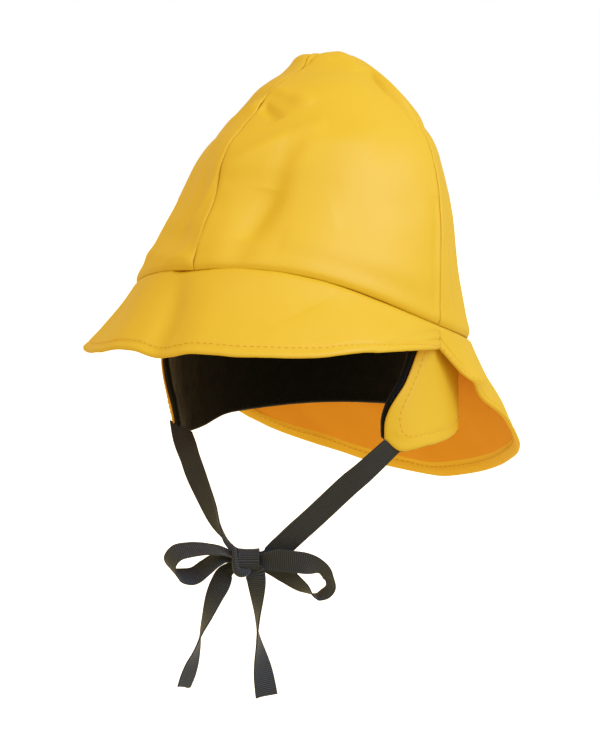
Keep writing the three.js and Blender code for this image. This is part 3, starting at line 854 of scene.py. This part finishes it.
# The hem is doubled up to its width, and pressed thinner under the line of thread.
hem_wide = 5.2 * mm
hem_edge = 0.25 * mm
hem_thick = 2.0 * mm
hem_pressed = 0.5 * mm
hem_pressed_wide = 0.6 * mm
stitch_up = 3.6 * mm
# One stitch, with its rise above the cloth and the dip of its ends in millimetres.
stitch_long = 2.3 * mm
stitch_gap = 0.7 * mm
thread_thick = 0.42 * mm
thread_rings = 7
thread_sides = 6
thread_taper = 0.75
thread_proud = 0.12
thread_dip = 0.3


def on_sheet(points, u, v):
    """Places on a sheet of points: u runs along its rows and v across them, both from 0 to 1."""
    j = v * (points.shape[0] - 1)
    i = u * (points.shape[1] - 1)
    j0 = np.clip(j.astype(int), 0, points.shape[0] - 2)
    i0 = np.clip(i.astype(int), 0, points.shape[1] - 2)
    t = (j - j0)[:, None]
    s = (i - i0)[:, None]
    return (
        points[j0, i0] * (1 - s) * (1 - t)
        + points[j0, i0 + 1] * s * (1 - t)
        + points[j0 + 1, i0] * (1 - s) * t
        + points[j0 + 1, i0 + 1] * s * t
    )


def stitches(name, line, outward):
    """A row of stitches along a line of points on the cloth, each a short thread that dips in at its ends."""
    run = length_to(line)
    number = int(run[-1] / (stitch_long + stitch_gap))
    along = np.linspace(-1, 1, thread_rings)
    turn = np.linspace(0, 2 * math.pi, thread_sides, endpoint=False)[None, :, None]
    round_off = (1 - along**4 * thread_taper) * thread_thick / 2
    one = tube(np.zeros((thread_rings, thread_sides, 3)))
    points = []
    faces = []
    for k in range(number):
        at = (k + 0.5) * run[-1] / number + along * stitch_long / 2
        middle = np.stack([np.interp(at, run, line[:, c]) for c in range(3)], axis=1)
        up = unit(np.stack([np.interp(at, run, outward[:, c]) for c in range(3)], axis=1))
        middle = middle + up * ((thread_proud - thread_dip * along**4) * mm)[:, None]
        side = unit(np.cross(np.gradient(middle, axis=0), up))
        ring = np.cos(turn) * side[:, None] + np.sin(turn) * up[:, None]
        points.append(middle[:, None] + ring * round_off[:, None, None])
        faces += [tuple(k * thread_rings * thread_sides + corner for corner in face) for face in one]
    piece = new_mesh(name, np.array(points), faces)
    piece.data.materials.append(thread)
    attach(piece, "root")


thread, shader, start = new_finish(
    "thread",
    Base_Color=(0.80, 0.51, 0.03, 1),
    Roughness=0.5,
    Sheen_Weight=0.2,
)
where = start.node("ShaderNodeTexCoord", output="Object")
twist = start.node("ShaderNodeTexNoise", Vector=where, Scale=2500.0, Detail=1.0)
turns = start.node("ShaderNodeBump", Height=twist, Strength=0.3, Distance=0.06 * mm)
start.tree.links.new(turns.socket, shader.inputs["Normal"])

# The folds of each sheet in millimetres, as on the crown. up runs from the hem.
sheet_folds = {
    "front_brim": [
        (121, 46, 178, -8, -2.6, 5),
        (139, 44, 195, -6, 1.1, 7),
        (104, 42, 148, -4, 1.4, 7),
        (86, 36, 114, -6, -1.2, 7),
        (205, 22, 275, 4, 1, 9),
    ],
    "neck_flap": [
        (14, -12, 46, 18, 2.2, 4),
        (30, -10, 60, 20, -1, 5),
        (56, -6, 84, 50, 1.1, 9),
        (152, -4, 138, 84, 1.5, 12),
        (192, -6, 182, 76, -1.8, 11),
        (254, -4, 232, 76, 1.5, 12),
        (316, -4, 296, 52, -1.3, 9),
    ],
}
sheet_waves = {
    "front_brim": [(0.4, 26 * mm, 1.0), (0.12, 10 * mm, 5.0)],
    "neck_flap": [(0.4, 26 * mm, 5.0), (0.12, 10 * mm, 9.0)],
}
# The lines along the hem, the sides and the crown, as on the crown's panels.
stitch_draw = (stitch_up, -0.45, 0.7 * mm)
side_draw = (0, -0.1, 0.9 * mm)
crown_draw = (0, -0.9, 1.3 * mm)
hem_pucker = (stitch_up, 0.16, 5 * mm)
hem_pucker_size = 4.5 * mm
side_close = 0.15 * mm
side_close_wide = 1 * mm

# The size that each sheet was cut to: its flat width and length in millimetres and its area in square metres.
sheet_cuts = {"front_brim": (338, 52, 0.0120), "neck_flap": (394, 92, 0.0189)}


def level_out(place):
    """The way out of the hat at a place, held level."""
    return Vector((place.x, place.y, 0))


def out_and_up(place):
    """The way out of a sheet that hangs aslant."""
    return level_out(place).normalized() + Vector((0, 0, 1))


def hemmed_sheet(node):
    """A brim or flap: its outer points with the sewn line pressed in, and its thickness at each point."""
    points = finer(outer_points(node, out_and_up), sheet_cell)
    outward = outward_of(points)
    left = run_along(points, 1)
    up = run_along(points, 0)
    lift = (
        beside(up, stitch_draw)
        + beside(np.minimum(left, from_end(left, 1)), side_draw)
        + beside(from_end(up, 0), crown_draw)
        + waves(points, sheet_waves[node])
        + uneven(points, hem_pucker_size) * beside(up, hem_pucker)
        + folded(left, up, sheet_folds[node])
    )
    points = drawn_out(points + outward * (lift * mm)[..., None], left, side_close, side_close_wide)
    doubled = 1 / (1 + np.exp((up - hem_wide) / hem_edge))
    pressed = hem_pressed * hump(up - stitch_up, hem_pressed_wide)
    return points, cloth_thick + (hem_thick - cloth_thick) * doubled - pressed


# Above the seam the cloth runs on behind the crown. Each row is so many millimetres in and up from its edge.
seam_allowance = [(0.9, 0.2), (1.9, 0.5), (2.4, 1.6), (2.4, 3.2)]
allowance_thick = 0.7 * mm


def with_allowance(points, thick):
    """The sheet and its thickness with the strip that is sewn into the seam added over its upper edge."""
    edge = points[-1]
    inward = unit(edge * [-1, -1, 0])
    strip = np.array([edge + (inward * into + [0, 0, up]) * mm for into, up in seam_allowance])
    thin = np.full(strip.shape[:2], allowance_thick)
    return np.concatenate([points, strip]), np.concatenate([thick, thin])


hem_line_points = 900
hem_line_end = 0.004


def hem_line(points, thick, inside):
    """The sewn line of a hem, on its outer or its inner face, and the way out of that face."""
    outward = outward_of(points)
    if inside:
        points = points - outward * thick[..., None]
    u = np.linspace(hem_line_end, 1 - hem_line_end, hem_line_points)
    tall = run_along(points, 0)[-1].mean()
    v = np.full_like(u, stitch_up / tall)
    out = on_sheet(outward, u, v)
    return on_sheet(points, u, v), -out if inside else out


hemmed_looks = [rain_cloth, knit_back, hem_face_painted_light]
for node, cut in sheet_cuts.items():
    points, thick = hemmed_sheet(node)
    sewn, sewn_thick = with_allowance(points, thick)
    hem_rows = int((run_along(points, 0).mean(1) < hem_wide).sum())
    cloth(node + "_cloth", sewn, sewn_thick, hemmed_looks, node, hem_rows)
    for side, inside in (("outer", False), ("inner", True)):
        line, out = hem_line(points, thick, inside)
        stitches(f"{node}_{side}_stitches", line, out)

# Ear band. A shell of the same cloth hangs inside the brim and the flap, over one ear, round the neck and
# over the other ear, backed with black fleece and sewn round its front and lower edges.
band_cell = 1.2 * mm
band_stitch_in = 5.0 * mm
band_draw = (band_stitch_in, -0.4, 0.8 * mm)
band_waves = [(0.35, 24 * mm, 2.0)]
band_pucker = (band_stitch_in, 0.14, 6 * mm)
band_pucker_size = 6 * mm

points = finer(outer_points("ear_band", level_out), band_cell)
outward = outward_of(points)
left = run_along(points, 1)
up = run_along(points, 0)
to_edge = np.minimum(np.minimum(left, from_end(left, 1)), up)
lift = (
    beside(to_edge, band_draw)
    + waves(points, band_waves)
    + uneven(points, band_pucker_size) * beside(to_edge, band_pucker)
)
points = points + outward * (lift * mm)[..., None]
looks = [rain_cloth, knit_back]
cloth("ear_band_cloth", points, cloth_thick, looks, "ear_band")

# Its sewn line runs down the front edge, round a corner, along the lower edge, and up again at the far side.
corner_round = 9.0 * mm
front_points = 60
corner_points = 24
lower_points = 500
wide = left[:, -1].mean()
tall = up[-1].mean()
u_in = band_stitch_in / wide
v_in = band_stitch_in / tall
u_round = corner_round / wide
v_round = corner_round / tall
down = np.linspace(1 - 2 * v_in, v_in + v_round, front_points)
quarter = np.linspace(0, math.pi / 2, corner_points)[1:-1]
u_line = np.concatenate([
    np.full_like(down, u_in),
    u_in + (1 - np.cos(quarter)) * u_round,
    np.linspace(u_in + u_round, 1 - u_in - u_round, lower_points),
    1 - u_in - (1 - np.sin(quarter)) * u_round,
    np.full_like(down, 1 - u_in),
])
v_line = np.concatenate([
    down,
    v_in + (1 - np.sin(quarter)) * v_round,
    np.full(lower_points, v_in),
    v_in + (1 - np.cos(quarter)) * v_round,
    down[::-1],
])
stitches("ear_band_stitches", on_sheet(points, u_line, v_line), on_sheet(outward, u_line, v_line))

# Fleece. Black pile, thick and soft, that fills the inner side of the ear band and stands a little proud
# of the cloth along the edges, where its fibres show.
fleece_thick = 2.7 * mm
fleece_thick_waves = [(0.25, 5 * mm, 0.0), (0.2, 14 * mm, 0.0)]
fleece_off = 0.4 * mm
fleece_proud = 2.4 * mm
fleece_proud_wide = 4 * mm
# Toward the lower corners of the band the fleece stands less proud.
fleece_proud_low = 0.45
fleece_proud_from = 0.15
fleece_proud_over = 0.3
tufts_share = 0.6
clumps_share = 0.4

fleece, shader, start = new_finish(
    "fleece",
    Roughness=0.95,
    Specular_IOR_Level=0.08,
    Sheen_Weight=0.25,
    Sheen_Tint=(0.8, 0.92, 1, 1),
)
where = start.node("ShaderNodeTexCoord", output="Object")
tufts = start.node("ShaderNodeTexNoise", Vector=where, Scale=700.0, Detail=4.0, Roughness=0.7)
clumps = start.node("ShaderNodeTexNoise", Vector=where, Scale=160.0, Detail=3.0)
pile = tufts * tufts_share + clumps * clumps_share
deep_pile = (0.0006, 0.0010, 0.0016, 1)
pale_pile = (0.0032, 0.0066, 0.0104, 1)
start.tree.links.new(pile.blend(deep_pile, pale_pile).socket, shader.inputs["Base Color"])
nap = start.node("ShaderNodeBump", Height=pile, Strength=0.9, Distance=0.6 * mm)
start.tree.links.new(nap.socket, shader.inputs["Normal"])

points = finer(outer_points("ear_band_lining", level_out), band_cell)
outward = outward_of(points)
left = run_along(points, 1)
up = run_along(points, 0)
higher = np.clip((up / up[-1] - fleece_proud_from) / fleece_proud_over, 0, 1)
reach = fleece_proud * (fleece_proud_low + (1 - fleece_proud_low) * higher)
points = drawn_out(points, left, reach, fleece_proud_wide) + outward * fleece_off
thick = fleece_thick + waves(points, fleece_thick_waves) * mm
cloth("ear_band_fleece", points, thick, [fleece, fleece], "ear_band_lining")

# Loose fibres along the edges of the pile, most of them on the lower one.
fibre_count = 22000
fibre_long = (0.7 * mm, 1.5 * mm)
fibre_thick = 0.05 * mm
fibre_spread = 1.2 * mm
fibre_inward = 0.5
fibre_scatter = 0.45
lower_edge_share = 0.72
dice = np.random.default_rng(11)
inner = points - outward * thick[..., None]
wide = run_along(points, 1)[:, -1].mean()
tall = run_along(points, 0)[-1].mean()
edge_v = np.abs(dice.normal(0, fibre_spread, fibre_count)) / tall
edge_u = np.abs(dice.normal(0, fibre_spread, fibre_count)) / wide
on_lower = dice.random(fibre_count) < lower_edge_share
u = np.where(on_lower, dice.random(fibre_count), np.where(dice.random(fibre_count) < 0.5, edge_u, 1 - edge_u))
v = np.where(on_lower, edge_v, dice.random(fibre_count))
depth = dice.random(fibre_count)[:, None]
root = on_sheet(inner, u, v) * depth + on_sheet(points, u, v) * (1 - depth)
inward = -on_sheet(outward, u, v)
beyond = np.where(on_lower[:, None], [[0, 0, -1]], [[0, -1, 0]])
lean = unit(inward * (fibre_inward * depth) + beyond + dice.normal(0, fibre_scatter, (fibre_count, 3)))
long = dice.uniform(*fibre_long, fibre_count)[:, None]
side = unit(np.cross(lean, dice.normal(0, 1, (fibre_count, 3)))) * fibre_thick
other = unit(np.cross(lean, side)) * fibre_thick
foot = [root + side, root - side / 2 + other, root - side / 2 - other]
fibres = np.stack([*foot, root + lean * long], axis=1)
first = np.arange(fibre_count)[:, None] * (len(foot) + 1)
faces = np.concatenate([first + [0, 1, 3], first + [1, 2, 3], first + [2, 0, 3], first + [2, 1, 0]])
piece = new_mesh("ear_band_fleece_fibres", fibres, faces)
piece.data.materials.append(fleece)
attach(piece, "root")
